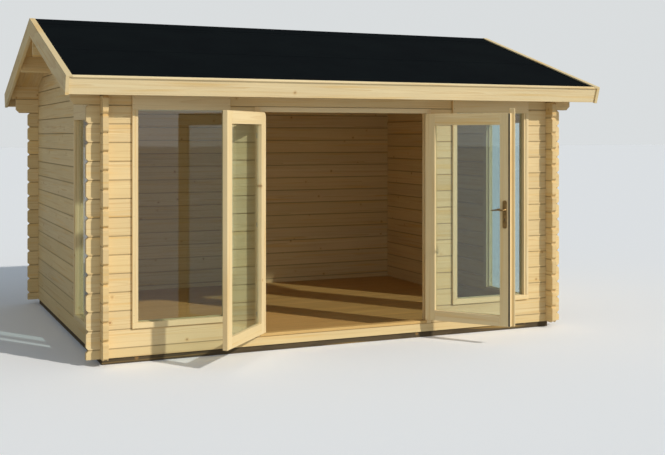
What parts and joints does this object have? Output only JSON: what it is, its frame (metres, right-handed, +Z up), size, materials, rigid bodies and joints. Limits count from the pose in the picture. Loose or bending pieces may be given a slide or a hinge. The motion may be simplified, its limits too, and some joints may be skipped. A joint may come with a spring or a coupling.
{
  "type": "log cabin",
  "caption": "Gable-roofed garden log cabin with interlocked notched corners, tall fixed side lights and an outward-opening double glazed door.",
  "frame": {"origin": "on the ground under the middle of the cabin, on the underside of the middle floor joist", "axes": "+X along the door front to the right, -Y out of the door front, +Z up"},
  "size_m": [4.82, 4.2418, 2.8315],
  "materials": {
    "log_wood": "planed untreated spruce, fine grain and small knots",
    "trim_wood": "planed untreated spruce boards",
    "joinery_wood": "smooth sanded spruce joinery",
    "board_wood": "planed tongued roof boards",
    "floor_wood": "planed floor boards, warm brown",
    "treated_wood": "pressure-treated timber, dark",
    "roof_felt": "smooth black bituminous roofing felt, matt",
    "window_glass": "clear float glass",
    "hinge_metal": "zinc-plated steel",
    "handle_brass": "satin brass"
  },
  "bodies": {
    "cabin": {"front_sill_log": "log_wood", "front_wall_left": "log_wood", "front_wall_right": "log_wood", "front_top_log": "log_wood", "back_wall": "log_wood", "back_top_log": "log_wood", "front_eave_purlin": "log_wood", "back_eave_purlin": "log_wood", "left_wall": "log_wood", "right_wall": "log_wood", "left_gable": "log_wood", "right_gable": "log_wood", "ridge_purlin": "log_wood", "front_mid_purlin": "log_wood", "back_mid_purlin": "log_wood", "foundation_bearers": "treated_wood", "floor": "floor_wood", "front_roof_boards": "board_wood", "front_roof_felt": "roof_felt", "front_fascia": "trim_wood", "back_roof_boards": "board_wood", "back_roof_felt": "roof_felt", "back_fascia": "trim_wood", "left_bargeboards": "trim_wood", "left_barge_caps": "trim_wood", "right_bargeboards": "trim_wood", "right_barge_caps": "trim_wood", "front_left_window_frame": "joinery_wood", "front_left_window_pane": "window_glass", "front_right_window_frame": "joinery_wood", "front_right_window_pane": "window_glass", "left_side_window_frame": "joinery_wood", "left_side_window_pane": "window_glass", "right_side_window_frame": "joinery_wood", "right_side_window_pane": "window_glass", "door_frame": "joinery_wood", "door_threshold": "joinery_wood", "frame_hinges": "hinge_metal"},
    "left_leaf": {"left_door_leaf": "joinery_wood", "left_door_pane": "window_glass", "left_leaf_hinges": "hinge_metal"},
    "right_leaf": {"right_door_leaf": "joinery_wood", "right_door_pane": "window_glass", "right_leaf_hinges": "hinge_metal", "door_handle": "handle_brass"}
  },
  "joints": [
    {"name": "left_leaf_hinge", "type": "hinge", "parent": "cabin", "child": "left_leaf", "pos_m": [-0.7765, -1.66, 1.05], "axis": [0, 0, -1], "range_deg": [-132, 40]},
    {"name": "right_leaf_hinge", "type": "hinge", "parent": "cabin", "child": "right_leaf", "pos_m": [0.7765, -1.66, 1.05], "axis": [0, 0, 1], "range_deg": [-128, 40]}
  ]
}
